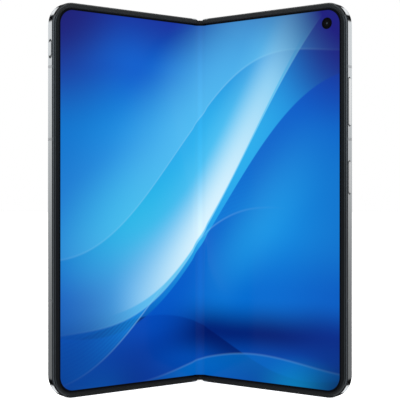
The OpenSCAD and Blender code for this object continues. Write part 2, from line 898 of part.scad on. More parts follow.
module camera_island() {
    color(dark) on_right() translate([island_x, half_t, island_z]) difference() {
        union() {
            plate(0, island_t - 0.4) round_rect(island_w, island_h, 8);
            plate(island_t - 0.4, 0.4) round_rect(island_w - 0.8, island_h - 0.8, 7.6);
        }
        for (p = lens_pos) {
            post(p[0], -cut, p[1], barrel_d / 2 + 0.15, half_t);
            post(p[0], island_t - 0.7, p[1], lens_d / 2 + 0.1, half_t);
        }
        post(flash_pos[0], -cut, flash_pos[1], flash_d / 2 - 0.5, half_t);
        post(flash_pos[0], island_t - 0.7, flash_pos[1], flash_d / 2 + 0.05, half_t);
    }
}

// Raised rim and window of one rear lens
module lens_window(r) {
    translate([0, half_t + island_t - 0.7, 0]) rotate([-90, 0, 0]) rotate_extrude()
        polygon([[0, 0], [r, 0], [r, 1.2], [r - 0.3, 1.5], [r - 0.9, 1.5],
                 [r - 1.1, 1.2], [0, 1.2]]);
}

module camera_lenses() {
    color(black) on_right() for (p = lens_pos)
        translate([island_x + p[0], 0, island_z + p[1]]) lens_window(lens_d / 2);
}

module camera_modules() {
    half = camera_base / 2;
    color(black) on_right() for (p = lens_pos) {
        block(island_x + p[0] - half, inside_y, island_z + p[1] - half,
              [camera_base, cover_y - inside_y - 0.1, camera_base]);
        post(island_x + p[0], cover_y - 0.2, island_z + p[1], barrel_d / 2,
             half_t + island_t - 0.7 - cover_y + 0.2);
    }
}

module flash_lens() {
    color([0.9, 0.9, 0.8]) on_right()
        translate([island_x + flash_pos[0], half_t + island_t - 0.7, island_z + flash_pos[1]])
            rotate([-90, 0, 0]) rotate_extrude()
                polygon([[0, 0], [flash_d / 2, 0], [flash_d / 2, 0.7],
                         [flash_d / 2 - 0.3, 0.85], [0, 0.85]]);
}

module inner_camera() {
    window_t = 0.3;
    color(black) on_right() {
        post(inner_cam_x, panel_y + 0.05, inner_cam_z, hole_d / 2 - 0.1, window_t);
        post(inner_cam_x, plate_y + 0.02, inner_cam_z, inner_cam_d / 2, inside_y + 0.2 - plate_y);
        block(inner_cam_x - inner_cam_body / 2, inside_y, inner_cam_z - inner_cam_body / 2,
              [inner_cam_body, cover_y - 0.6 - inside_y, inner_cam_body - 0.7]);
        post(inner_cam_x, panel_y + 0.05, inner_cam_z, 1.4, inside_y);
    }
}

module main_board() {
    w = outer_x - 1 - inner_x;
    key_room = 4.2;
    color(board) on_right() difference() {
        union() {
            block(inner_x, board_y, board_foot, [w, board_t, board_top - board_foot]);
            for (p = board_screws) post(p[0], inside_y, p[1], boss_r, board_y - inside_y);
        }
        for (p = lens_pos) block(island_x + p[0] - camera_room, 0, island_z + p[1] - camera_room,
                                 [2 * camera_room, half_t, 2 * camera_room]);
        block(inner_cam_x - inner_cam_body / 2 - 0.4, 0, inner_cam_z - inner_cam_body / 2 - 0.6,
              [2 * inner_cam_body, half_t, 3 * inner_cam_body]);
        for (p = board_screws) post(p[0], 0, p[1], 0.5, half_t);
        block(outer_x - key_room, 0, board_foot - cut,
              [cut + key_room, half_t, volume_z + volume_len / 2 + 1 + cut - board_foot]);
    }
}

module can(x, z, w, h) {
    y = board_y + board_t;
    t = cover_y - 0.3 - y;
    wall = 0.25;
    difference() {
        block(x, y, z, [w, t, h]);
        block(x + wall, y - cut, z + wall, [w - 2 * wall, t - wall + cut, h - 2 * wall]);
    }
}

module board_shields() {
    color(steel) on_right() for (c = shields) can(c[0], c[1], c[2], c[3]);
}

// A battery between heights z0 and z1, centred on x
module cell(x, w, z0, z1) {
    translate([x, inside_y, (z0 + z1) / 2]) plate(0, battery_t) round_rect(w, z1 - z0, battery_r);
}

module right_battery() {
    color([0.2, 0.2, 0.22]) on_right()
        cell((inner_x + outer_x) / 2 - 0.6, outer_x - inner_x - 3, battery_foot, board_foot - battery_gap);
}

module sub_board() {
    color(board) on_right() difference() {
        block(inner_x, board_y, sub_board_foot, [outer_x - 1 - inner_x, board_t, sub_board_h]);
        block(tray_x - tray_w / 2 - 1, 0, 0, [tray_w + 2, half_t, tray_len + 4]);
        block(socket_x - 6, 0, 0, [12, half_t, 11]);
        block(speaker_x - speaker_w / 2, 0, 0, [speaker_w + 2, half_t, speaker_h + 4]);
        post(motor_pos[0], 0, motor_pos[1], motor_r + 0.3, half_t);
    }
}

// Sleeve, tongue and feet of the charging socket
module charging_socket() {
    wall = 0.25;
    color(steel) on_right() translate([socket_x, mouth_y, 0.4]) {
        difference() {
            linear_extrude(socket_len)
                round_rect(socket_w + 2 * wall, socket_t + 2 * wall, socket_t / 2 + wall - 0.01);
            translate([0, 0, -cut]) linear_extrude(socket_len + cut - 0.8)
                round_rect(socket_w, socket_t, socket_t / 2 - 0.01);
        }
        translate([-3.2, -0.3, 0.8]) cube([6.4, 0.6, socket_len - 0.9]);
        for (s = [-1, 1]) translate([s * (socket_w / 2 - 0.2) - 0.6, inside_y - mouth_y, 4])
            cube([1.2, mouth_y - inside_y - 0.9, 2]);
    }
}

module loudspeaker() {
    color(black) on_right() difference() {
        plate(inside_y, cover_y - 0.4 - inside_y)
            translate([speaker_x + 1, rail_w + 0.1 + speaker_h / 2]) round_rect(speaker_w, speaker_h, 1);
        translate([speaker_x - 5.5, mouth_y - 0.6, rail_w - 0.5]) cube([11, 1.2, 4]);
    }
}

module vibration_motor() {
    color(steel) on_right() {
        post(motor_pos[0], inside_y, motor_pos[1], motor_r, motor_t);
        post(motor_pos[0], inside_y + motor_t, motor_pos[1], 0.7 * motor_r, 0.2);
    }
}

module card_reader() {
    wall = 0.2;
    room = 0.12;
    color(steel) on_right() translate([tray_x, mouth_y, rail_w + 0.2]) difference() {
        translate([-tray_w / 2 - 0.7, inside_y - mouth_y, 0])
            cube([tray_w + 1.4, tray_t / 2 + mouth_y - inside_y + 0.4, tray_len + 0.6 - rail_w]);
        translate([-tray_w / 2 - room, -tray_t / 2 - room, -cut])
            cube([tray_w + 2 * room, tray_t + 2 * room, tray_len + cut - rail_w]);
    }
}

// Tray with its card pocket, and the flush door with its pin hole at the outer end
module card_tray() {
    color(steel) on_right() translate([tray_x, mouth_y, 0]) difference() {
        translate([-tray_w / 2, -tray_t / 2, 0]) cube([tray_w, tray_t, tray_len]);
        translate([-tray_w / 2 + 1, -tray_t / 2 - cut, rail_w + 1])
            cube([tray_w - 2, tray_t / 2 + cut, tray_len - rail_w - 2]);
        translate([tray_w / 2 - 2, 0, -cut]) cylinder(d = eject_d, h = rail_w / 2 + cut);
    }
}

// ---- Side keys ----

// A key: its cap, the stem through the rail and the flange that keeps it in; z runs from its middle
module key(len, back) {
    edge = 0.15;
    stem_len = len - 2 * stem_in;
    translate([half_w, 0, 0]) rotate([0, -90, 0]) {
        translate([0, cap_y, -key_proud]) {
            linear_extrude(2 * edge) round_rect(len - 2 * edge, key_w - 2 * edge, key_w / 2 - edge);
            translate([0, 0, edge]) linear_extrude(key_proud + cap_t - edge)
                round_rect(len, key_w, key_w / 2);
        }
        translate([0, stem_y, 0]) {
            linear_extrude(rail_w + back) round_rect(stem_len, stem_w, stem_w / 2);
            translate([0, 0, rail_w + back]) linear_extrude(key_flange)
                round_rect(stem_len + 2 * flange_past, stem_w - 0.04, stem_w / 2 - 0.02);
        }
    }
}

module volume_rocker() {
    color(silver) on_right() translate([0, 0, volume_z]) key(volume_len, 0.25);
}

module power_key() {
    color(silver) on_right() translate([0, 0, power_z]) key(power_len, 0);
}

// Springy strip with a dome under each pressing point
module side_key_flex() {
    back = outer_x - 0.25 - key_flange - press_gap;
    domes = [volume_z - volume_len / 2 + 3, volume_z + volume_len / 2 - 3, power_z];
    color(copper) on_right() {
        block(back - 0.5, inside_y, power_z - power_len / 2, [0.3, cover_y - 0.3 - inside_y,
              volume_z + volume_len / 2 - power_z + power_len / 2]);
        for (z = domes) translate([back - 0.2, stem_y, z]) rotate([0, 90, 0])
            cylinder(r1 = 0.65, r2 = 0.4, h = 0.2);
    }
}

// ---- Inside the left half ----

module cover_glass() {
    color(black) on_left() plate(cover_y, cover_t)
        half_outline(wall_x + 0.1, cover_in + 0.05, cover_in + 0.05, corner_r - cover_in - 0.05);
}

module cover_display() {
    color([0.05, 0.05, 0.08]) on_left() difference() {
        plate(cover_y - 0.35, 0.35) half_outline(wall_x + 0.5, rail_w + 0.3, rail_w + 0.3,
                                                 corner_r - rail_w - 0.3);
        post(cover_cam_x, 0, cover_cam_z, cover_cam_r + 0.3, 2 * half_t);
    }
}

module cover_camera() {
    color(black) on_left() {
        block(cover_cam_x - cover_cam_body / 2, inside_y, cover_cam_z - cover_cam_body / 2,
              [cover_cam_body, cover_y - 0.6 - inside_y, cover_cam_body]);
        post(cover_cam_x, cover_y - 1, cover_cam_z, cover_cam_r, 1);
    }
}

module left_board() {
    color(board) on_left() difference() {
        union() {
            block(inner_x, board_y, left_board_foot,
                  [outer_x - 2 - inner_x, board_t, board_top - left_board_foot]);
            for (p = left_board_screws) post(p[0], inside_y, p[1], boss_r, board_y - inside_y);
        }
        block(cover_cam_x - cover_cam_room, 0, cover_cam_z - cover_cam_room,
              [2 * cover_cam_room, half_t, 3 * cover_cam_body]);
        block(cover_cam_x + 4.6, 0, body_h - earpiece_h - 4, [earpiece_w + 3, half_t, 20]);
        block(outer_x - 6, 0, slider_z - 6, [10, half_t, 12]);
        for (p = left_board_screws) post(p[0], 0, p[1], 0.5, half_t);
    }
}

module left_battery() {
    color([0.2, 0.2, 0.22]) on_left()
        cell((inner_x + outer_x) / 2, outer_x - inner_x - 2, left_battery_foot,
             left_board_foot - battery_gap);
}

module earpiece_speaker() {
    color(black) on_left() difference() {
        plate(inside_y, cover_y - 0.5 - inside_y)
            translate([cover_cam_x + 13, body_h - rail_w - 0.1 - earpiece_h / 2])
                round_rect(earpiece_w, earpiece_h, 1);
        translate([cover_cam_x + 6.5, mouth_y - 0.6, body_h - rail_w - 3]) cube([13, 1.2, 4]);
    }
}

module slider_switch() {
    color(black) on_left() {
        block(outer_x - 3.3, inside_y, slider_z - 4, [2, cover_y - 0.5 - inside_y, 8]);
        block(outer_x - 1.3, inside_y, slider_z - 4, [1.1, 0.2, 8]);
    }
}

module alert_slider() {
    edge = 0.15;
    color(silver) on_left() translate([half_w, 0, slider_z]) rotate([0, -90, 0]) {
        translate([0, cap_y, -key_proud]) {
            linear_extrude(2 * edge)
                round_rect(slider_len - 2 * edge, key_w - 2 * edge, key_w / 2 - edge);
            translate([0, 0, edge]) linear_extrude(key_proud + slider_pocket - edge - 0.1)
                round_rect(slider_len, key_w, key_w / 2);
        }
        translate([0, stem_y, 0]) {
            linear_extrude(rail_w + 0.1) round_rect(slider_neck, stem_w, stem_w / 2);
            translate([0, 0, rail_w + 0.1]) linear_extrude(0.8) round_rect(slider_neck + 1, 1, 0.4);
        }
    }
}

hinge_spine_cover();
hinge_end_caps();
hinge_guide_blocks();
gear_bearing_plates();
friction_clips();
centre_support_plate();
hinge_screws();
hinge_flex();
display_fold();
right_frame();
right_antenna_bands();
right_bezel();
right_display();
right_display_plate();
right_swing_arms();
right_sync_guide();
right_screws();
rear_cover();
camera_island();
camera_lenses();
camera_modules();
flash_lens();
inner_camera();
main_board();
board_shields();
right_battery();
sub_board();
charging_socket();
loudspeaker();
vibration_motor();
card_reader();
card_tray();
side_key_flex();
volume_rocker();
power_key();
left_frame();
left_antenna_bands();
left_bezel();
left_display();
left_display_plate();
left_swing_arms();
left_sync_guide();
left_screws();
cover_glass();
cover_display();
cover_camera();
left_board();
left_battery();
earpiece_speaker();
slider_switch();
alert_slider();
right_sync_arm();
left_sync_arm();
right_idler_gear();
left_idler_gear();
right_wing_plate();
left_wing_plate();
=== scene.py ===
import math

import bpy
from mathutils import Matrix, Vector

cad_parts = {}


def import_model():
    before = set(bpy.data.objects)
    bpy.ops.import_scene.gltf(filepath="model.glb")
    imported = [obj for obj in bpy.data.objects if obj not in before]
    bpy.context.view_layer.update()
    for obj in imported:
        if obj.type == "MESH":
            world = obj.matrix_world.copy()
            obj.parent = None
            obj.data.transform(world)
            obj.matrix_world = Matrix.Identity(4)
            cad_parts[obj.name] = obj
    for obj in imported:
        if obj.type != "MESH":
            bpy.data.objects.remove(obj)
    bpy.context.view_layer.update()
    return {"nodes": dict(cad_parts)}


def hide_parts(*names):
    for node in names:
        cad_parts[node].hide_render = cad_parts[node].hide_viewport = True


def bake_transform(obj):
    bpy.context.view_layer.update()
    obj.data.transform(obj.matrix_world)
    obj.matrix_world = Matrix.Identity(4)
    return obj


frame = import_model()
nodes = frame["nodes"]

MM, PER_METRE = 0.001, 1000.0

# Sizes of the phone in mm. A place in a half is (along, depth, height): mm from the fold, behind the
# front and above the foot.
TILT = math.radians(37)                        # turn of each half from flat
COS, SIN = math.cos(TILT), math.sin(TILT)
AXIS_X, AXIS_Y, SHIFT_Y = 1.6, 1.3, 18.59014   # fold axis in a half, and the half's shift in the frame
BODY_H, HALF_W, HALF_T = 156.0, 72.5, 4.8
MIDDLE = BODY_H / 2
CORNER_R, CHAMFER, BACK_ROUND, RIM_W = 9.4, 0.4, 1.6, 1.6
PANEL_Y, PLATE_Y, FOLD_ZONE = 0.25, 0.6, 5.5   # front and back of the display, and how far it bends
POCKET = 2.1                                   # ends of the display strip from those of the phone
BORE_FLOOR = AXIS_Y + 2.2 - 0.3                # depth of the flat cables in the spine
FLEX_Y, FLEX_T = 1.9, 0.12                     # depth of the flat cables in a half, and thickness
LIT_SIDE, LIT_END, LIT_R = 3.7, 2.92, 5.8      # margins and corner radius of the lit picture
KEY_Y, KEY_W = 1.75, 2.1                       # depth of the middle of the keys, and width
KEYS = ((BODY_H - 39.5, 18.6), (BODY_H - 69.1, 12.6))   # middle height and length: volume, power
SLIDER = (BODY_H - 18.8, 5.8)                  # the same of the alert slider
INNER_CAMERA = (HALF_W - 9.4, BODY_H - 8.1)    # this and the next places are (along, height)
DARK_RING = 2.3                                # radius round that camera in which the picture isn't lit
COVER_CAMERA = (HALF_W / 2 + 2.55, BODY_H - 9)
LENSES = [(HALF_W - 26.9 + x, BODY_H - 29 + z) for x, z in ((-8, 9.5), (8, 9.5), (-8, -7))]
FLASH = (HALF_W - 18.9, BODY_H - 36)

WHITE = (1, 1, 1, 1)
FINE_GRAIN = 0.00002                           # depth of a material's grain in metres
POLISH, MATT = 9000.0, 5200.0                  # fineness of the grain of polished metal and of plastic
PHOTO_W, FOCAL = 400, 1033.7                   # width of the photo and focal length in pixels
ART_W = 72.0                                   # mm from the fold to the side of the picture's design
FOLD_STEPS, FLEX_STEPS = 30, 14                # steps of the bending strips in each half


# ---------------------------------------------------------------- shader graphs
class Graph:
    """Builds one node tree with short calls."""

    def __init__(self, tree):
        self.nodes = tree.nodes
        self.links = tree.links
        self.count = 0

    def node(self, kind, **values):
        """Adds a node with these values of its own."""
        n = self.nodes.new(kind)
        n.location = (self.count % 12 * 180, -(self.count // 12) * 220)
        self.count += 1
        for key, value in values.items():
            setattr(n, key, value)
        return n

    def put(self, socket, value):
        """Feeds an input with another node's output, or sets it to a constant."""
        if isinstance(value, bpy.types.NodeSocket):
            self.links.new(value, socket)
        elif value is not None:
            socket.default_value = value

    def math(self, op, a, b=None, clamp=False):
        n = self.node("ShaderNodeMath", operation=op, use_clamp=clamp)
        for socket, value in zip(n.inputs, (a, b)):
            self.put(socket, value)
        return n.outputs[0]

    def add(self, a, b):
        return self.math("ADD", a, b)

    def sub(self, a, b):
        return self.math("SUBTRACT", a, b)

    def mul(self, a, b):
        return self.math("MULTIPLY", a, b)

    def step(self, value, low, high, to_low=0.0, to_high=1.0):
        """Smooth step from to_low to to_high while value goes from low to high."""
        n = self.node("ShaderNodeMapRange", interpolation_type="SMOOTHSTEP")
        for i, v in enumerate((value, low, high, to_low, to_high)):
            self.put(n.inputs[i], v)
        return n.outputs[0]

    def ramp(self, fac, stops, mode="EASE"):
        """Colour by fac, between stops of (place, colour)."""
        n = self.node("ShaderNodeValToRGB")
        n.color_ramp.interpolation = mode
        for i, (place, colour) in enumerate(stops):
            e = n.color_ramp.elements[i] if i < 2 else n.color_ramp.elements.new(place)
            e.position = place
            e.color = (*colour, 1)
        self.put(n.inputs[0], fac)
        return n.outputs[0]

    def mix(self, fac, a, b, blend="MIX"):
        n = self.node("ShaderNodeMix", data_type="RGBA", blend_type=blend)
        self.put(n.inputs[0], fac)
        self.put(n.inputs[6], a if isinstance(a, bpy.types.NodeSocket) else (*a, 1))
        self.put(n.inputs[7], b if isinstance(b, bpy.types.NodeSocket) else (*b, 1))
        return n.outputs[2]

    def noise(self, vector, scale, detail):
        n = self.node("ShaderNodeTexNoise")
        self.put(n.inputs["Vector"], vector)
        self.put(n.inputs["Scale"], scale)
        self.put(n.inputs["Detail"], detail)
        return n.outputs["Fac"]

    def stretched(self, vector, scale):
        n = self.node("ShaderNodeMapping")
        self.put(n.inputs["Vector"], vector)
        self.put(n.inputs["Scale"], scale)
        return n.outputs[0]

    def bump(self, height, strength, distance):
        n = self.node("ShaderNodeBump")
        self.put(n.inputs["Strength"], strength)
        self.put(n.inputs["Distance"], distance)
        self.put(n.inputs["Height"], height)
        return n.outputs[0]

    def reach(self, a, b, place=(0, 0)):
        """Distance of a flat position (a, b) from a place."""
        flat = self.node("ShaderNodeCombineXYZ")
        self.put(flat.inputs[0], self.sub(a, place[0]))
        self.put(flat.inputs[1], self.sub(b, place[1]))
        length = self.node("ShaderNodeVectorMath", operation="LENGTH")
        self.put(length.inputs[0], flat.outputs[0])
        return length.outputs["Value"]

    def position(self):
        return self.node("ShaderNodeTexCoord").outputs["Object"]

    def position_x(self):
        return self.xyz(self.position())[0]

    def xyz(self, vector):
        n = self.node("ShaderNodeSeparateXYZ")
        self.put(n.inputs[0], vector)
        return n.outputs


def srgb(r, g, b):
    """A colour given in screen values of 0 to 255, as linear light."""
    return tuple(c / 255 / 12.92 if c <= 10 else ((c / 255 + 0.055) / 1.055) ** 2.4 for c in (r, g, b))


def material(name):
    """A new material with its graph and its shader."""
    m = bpy.data.materials.new(name)
    m.use_nodes = True
    g = Graph(m.node_tree)
    shader = m.node_tree.nodes["Principled BSDF"]
    return m, g, shader


def dress(m, *names):
    """Gives the named nodes one material."""
    for name in names:
        data = nodes[name].data
        data.materials.clear()
        data.materials.append(m)


def from_middle(g, height):
    """Distance upwards or downwards from the middle of the phone."""
    return g.math("ABSOLUTE", g.sub(height, MIDDLE))


def half_places():
    """Group that turns a place on either half into mm from the fold, the front and the foot."""
    t = bpy.data.node_groups.new("half_places", "ShaderNodeTree")
    for name in ("Along", "Depth", "Height"):
        t.interface.new_socket(name, in_out="OUTPUT", socket_type="NodeSocketFloat")
    g = Graph(t)
    x, y, z = g.xyz(g.position())
    side = g.sub(g.mul(g.math("ABSOLUTE", x), PER_METRE), AXIS_X)
    back = g.sub(g.mul(y, PER_METRE), SHIFT_Y + AXIS_Y)
    out = g.node("NodeGroupOutput")
    g.put(out.inputs[0], g.add(g.sub(g.mul(side, COS), g.mul(back, SIN)), AXIS_X))
    g.put(out.inputs[1], g.add(g.add(g.mul(side, SIN), g.mul(back, COS)), AXIS_Y))
    g.put(out.inputs[2], g.mul(z, PER_METRE))
    return t


def outlines():
    """Group for the distance in mm inwards from the outline of a half and from that of its lit picture."""
    t = bpy.data.node_groups.new("outlines", "ShaderNodeTree")
    for name in ("Along", "Height"):
        t.interface.new_socket(name, in_out="INPUT", socket_type="NodeSocketFloat")
    for name in ("Inset", "Lit"):
        t.interface.new_socket(name, in_out="OUTPUT", socket_type="NodeSocketFloat")
    g = Graph(t)
    along, height = g.node("NodeGroupInput").outputs[:2]
    end = from_middle(g, height)
    out = g.node("NodeGroupOutput")
    for socket, (side_in, end_in, r) in zip(out.inputs, ((0, 0, CORNER_R), (LIT_SIDE, LIT_END, LIT_R))):
        past_x = g.sub(along, HALF_W - side_in - r)
        past_z = g.sub(end, MIDDLE - end_in - r)
        round_part = g.reach(g.math("MAXIMUM", past_x, 0.0), g.math("MAXIMUM", past_z, 0.0))
        straight = g.math("MINIMUM", g.math("MAXIMUM", past_x, past_z), 0.0)
        g.put(socket, g.sub(r, g.add(round_part, straight)))
    return t


PLACES = half_places()
OUTLINES = outlines()


def places(g):
    """Along, depth and height of the shaded point in its half, in mm."""
    n = g.node("ShaderNodeGroup", node_tree=PLACES)
    return n.outputs["Along"], n.outputs["Depth"], n.outputs["Height"]


def insets(g, along, height):
    """Distances inwards from the outline of a half and from that of its lit picture, in mm."""
    n = g.node("ShaderNodeGroup", node_tree=OUTLINES)
    g.put(n.inputs[0], along)
    g.put(n.inputs[1], height)
    return n.outputs["Inset"], n.outputs["Lit"]


# ---------------------------------------------------------------- wallpaper
def wallpaper():
    """Flowing silk waves in blues: a group from signed place across the fold and height, both in mm."""
    t = bpy.data.node_groups.new("wallpaper", "ShaderNodeTree")
    for name in ("Across", "Height"):
        t.interface.new_socket(name, in_out="INPUT", socket_type="NodeSocketFloat")
    t.interface.new_socket("Color", in_out="OUTPUT", socket_type="NodeSocketColor")
    g = Graph(t)
    inputs = g.node("NodeGroupInput").outputs
    u, h = inputs[0], inputs[1]
    flat = g.node("ShaderNodeCombineXYZ")
    g.put(flat.inputs[0], u)
    g.put(flat.inputs[1], h)
    broad = g.noise(flat.outputs[0], 0.013, 1.0)
    sway = g.mul(g.sub(broad, 0.5), 22.0)

    def patch(colour, place, reach, lean, light, amount):
        """Adds a soft oval of light, leaning sideways by lean mm for each mm of height."""
        dx, dz = g.sub(u, place[0]), g.sub(h, place[1])
        dx = g.sub(dx, g.mul(dz, lean))
        oval = g.node("ShaderNodeCombineXYZ")
        g.put(oval.inputs[0], g.math("DIVIDE", dx, reach[0]))
        g.put(oval.inputs[1], g.math("DIVIDE", dz, reach[1]))
        span = g.node("ShaderNodeVectorMath", operation="LENGTH")
        g.put(span.inputs[0], oval.outputs[0])
        return g.mix(g.step(span.outputs["Value"], 1.0, 0.0, 0.0, amount), colour, light)

    def wave(colour, base, rise, swing, length, shift, soft, light, amount, reach=None, rim=0.0, lines=0.0):
        """Adds a fold of silk: a crisp edge along a curve, fading upwards or downwards over soft mm.

        The curve has its height at the fold as base, its slope as rise, and swings each length mm.
        With reach, (place, distance), it fades sideways. A rim lights its edge, and lines groove it."""
        bend = g.mul(g.math("SINE", g.add(g.mul(u, 2 * math.pi / length), shift)), swing)
        d = g.sub(h, g.add(g.add(g.mul(u, rise), bend), base))
        if soft < 0:
            d = g.mul(d, -1.0)
        near = 1.0
        if reach:
            near = g.step(g.math("ABSOLUTE", g.sub(u, reach[0])), reach[1], 0.0)
        body = g.mul(g.mul(g.step(d, 0.0, 0.9), g.step(d, abs(soft), 0.0)), near)
        if lines:
            fine = g.math("SINE", g.mul(d, 2 * math.pi / 1.7))
            body = g.add(body, g.mul(g.mul(fine, body), lines))
        colour = g.mix(g.mul(body, amount), colour, light)
        if rim:
            edge = g.mul(g.step(g.math("ABSOLUTE", g.sub(d, 0.5)), 0.75, 0.0), near)
            colour = g.mix(g.mul(edge, rim), colour, srgb(150, 216, 250))
        return colour

    colour = g.ramp(g.math("DIVIDE", g.add(h, sway), BODY_H), [
        (0.0, srgb(0, 66, 164)), (0.05, srgb(0, 72, 172)), (0.13, srgb(0, 34, 118)),
        (0.24, srgb(2, 108, 208)), (0.44, srgb(14, 140, 226)), (0.66, srgb(16, 138, 224)),
        (0.84, srgb(14, 96, 204)), (1.0, srgb(20, 50, 158))])
    edge = g.math("DIVIDE", g.math("ABSOLUTE", u), ART_W)
    colour = g.mix(g.step(edge, 0.45, 1.05, 0.0, 0.4), colour, srgb(6, 60, 170))
    corner = g.mul(g.step(edge, 0.45, 1.05), g.step(h, 100.0, 160.0))
    colour = g.mix(corner, colour, srgb(32, 22, 112))
    colour = patch(colour, (8, 96), (60, 78), 0.3, srgb(52, 184, 240), 0.95)
    colour = patch(colour, (-34, 70), (44, 36), 0.5, srgb(44, 196, 232), 0.6)
    colour = wave(colour, 104, 0.55, 16, 150, 0.6, 58, srgb(104, 200, 246), 0.5, (0, 100), 0.3)
    colour = wave(colour, 20, -0.12, 8, 130, 2.4, -18, srgb(0, 20, 96), 0.75)
    colour = wave(colour, 9, 0.06, 4, 118, 0.3, -26, srgb(0, 108, 200), 0.7, None, 0.1)
    for x in (-52, 52):
        colour = patch(colour, (x, 2), (26, 15), 0.0, srgb(0, 150, 206), 0.6)
    colour = wave(colour, 68, 0.62, 20, 168, -0.5, -44, srgb(0, 78, 196), 0.8)
    colour = wave(colour, 50, 0.5, 13, 140, 1.0, 34, srgb(20, 144, 232), 0.7, (-30, 78), 0.3, 0.16)
    colour = wave(colour, 78, 0.85, 22, 176, -0.9, 50, srgb(116, 212, 247), 0.9, (8, 96), 0.25)
    colour = wave(colour, 82, 0.88, 23, 180, -1.05, 32, srgb(222, 244, 254), 0.95, (4, 52), 0.35)
    for x in (-74, 74):
        colour = patch(colour, (x, -2), (34, 30), 0.0, srgb(0, 18, 70), 0.95)
    colour = patch(colour, (80, 164), (56, 64), 0.0, srgb(28, 28, 124), 1.5)
    colour = patch(colour, (-80, 164), (44, 40), 0.0, srgb(24, 30, 116), 1.0)
    colour = patch(colour, (-62, 12), (44, 40), 0.0, srgb(0, 66, 158), 0.8)
    colour = patch(colour, (-34, 4), (30, 22), 0.0, srgb(0, 40, 132), 0.7)
    out = g.node("NodeGroupOutput")
    g.put(out.inputs[0], colour)
    return t


ART = wallpaper()


def screen_material(name, folded):
    """Lit display under clear film: unlit at its border and round the camera, with a faint painted sheen
    along the fold.
    """
    m, g, shader = material(name)
    if folded:
        across = g.node("ShaderNodeAttribute", attribute_name="flat_u").outputs["Fac"]
        along = g.math("ABSOLUTE", across)
        height = g.mul(g.xyz(g.position())[2], PER_METRE)
    else:
        along, _, height = places(g)
        side = g.math("SIGN", g.xyz(g.position())[0])
        across = g.mul(along, side)
    art = g.node("ShaderNodeGroup", node_tree=ART)
    g.put(art.inputs[0], across)
    g.put(art.inputs[1], height)
    lit = g.mul(g.step(insets(g, along, height)[1], -0.05, 0.05),
                g.step(g.reach(across, height, INNER_CAMERA), DARK_RING - 0.08, DARK_RING + 0.08))
    # painted sheen along the fold
    fold_sheen = g.add(1.0, g.mul(g.step(along, 1.8, 0.2), 0.06))    # 6 percent brighter within 1.8 mm
    g.put(shader.inputs["Base Color"], (0.001, 0.0015, 0.003, 1))
    g.put(shader.inputs["Roughness"], 0.12)
    g.put(shader.inputs["IOR"], 1.45)
    g.put(shader.inputs["Specular IOR Level"], 0.12)
    g.put(shader.inputs["Emission Color"], art.outputs[0])
    g.put(shader.inputs["Emission Strength"], g.mul(lit, fold_sheen))
    return m


# ---------------------------------------------------------------- metal, plastic and glass
def painted_shade_towards_foot(g, height, colour):
    """A colour with painted shade, darker towards the foot of the phone, where its sides catch less light.
    """
    return g.mix(g.step(height, 145.0, 60.0), colour, (0.6, 0.6, 0.6), "MULTIPLY")


def lower_end(g, height):
    """1 at the lower end of the phone and 0 at the upper one."""
    return g.step(height, BODY_H * 0.6, BODY_H * 0.4)


def is_front(g, depth):
    """1 on the front and the chamfer of a rail, 0 on its side."""
    return g.step(depth, CHAMFER + 0.12, CHAMFER + 0.06)


def rail_front(g, along, height, chamfer, light):
    """Colour of a rail's narrow front by inset: chamfer, light line, dark line and lip along the sides,
    painted with the reflection, highlight and shade that its polished metal shows.

    The bends of the corners and the two ends of the phone have painted stops of their own, as light
    falls otherwise there: a black painted reflection at the bends, painted shade at the lower end and
    a painted highlight on the rail ends beside the fold."""
    edge = insets(g, along, height)[0]
    dark, lip = srgb(18, 24, 28), srgb(64, 71, 75)
    sides = [(0.0, chamfer), (0.18, chamfer), (0.26, light), (0.64, light), (0.7, dark),
             (1.06, dark), (1.12, lip), (RIM_W, lip)]
    # painted reflection: at the bends of the corners the chamfer reads black, with a grey line inside it
    bends = [(0.0, srgb(8, 9, 10)), (0.42, srgb(8, 9, 10)), (0.5, srgb(72, 76, 78)),
             (0.8, srgb(66, 70, 72)), (0.92, srgb(42, 45, 46)), (RIM_W, srgb(38, 41, 42))]
    # the top and bottom ends in painted tones of their own, darker than the sides
    ends = [(0.0, srgb(92, 94, 94)), (0.36, srgb(84, 86, 86)), (0.5, srgb(40, 43, 44)),
            (RIM_W, srgb(36, 39, 40))]
    share = g.math("DIVIDE", edge, RIM_W)
    side, bend, end = (g.ramp(share, [(place / RIM_W, colour) for place, colour in stops], "LINEAR")
                       for stops in (sides, bends, ends))
    # painted shade: the lower end at half the brightness of the upper one
    end = g.mix(lower_end(g, height), end, (0.5, 0.5, 0.5), "MULTIPLY")
    # painted highlight on the rail ends beside the fold
    tip_highlight = g.mul(g.mul(g.step(along, 1.7, 2.0), g.step(along, 5.0, 4.4)), g.step(edge, 0.55, 0.45))
    end = g.mix(tip_highlight, end, srgb(158, 161, 162))
    from_end = g.sub(MIDDLE, from_middle(g, height))
    outer = g.step(along, HALF_W - CORNER_R - 1, HALF_W - CORNER_R + 1)
    end = g.mix(g.mul(g.step(from_end, 1.1, 1.5), outer), end, bend)
    return g.mix(g.step(from_end, 5.4, 6.3), end, painted_shade_towards_foot(g, height, side))


def away_from_ends(g, height):
    """0 near the top and bottom of the phone and 1 along its sides."""
    return g.step(from_middle(g, height), MIDDLE - 3.0, MIDDLE - 6.5)


def from_key(g, depth, height, key):
    """Height from a key's middle, and distance outwards from its outline, in mm."""
    z, length = key
    off = g.math("ABSOLUTE", g.sub(height, z))
    past = g.math("MAXIMUM", g.sub(off, length / 2 - KEY_W / 2), 0.0)
    return off, g.sub(g.reach(past, depth, (0, KEY_Y)), KEY_W / 2)


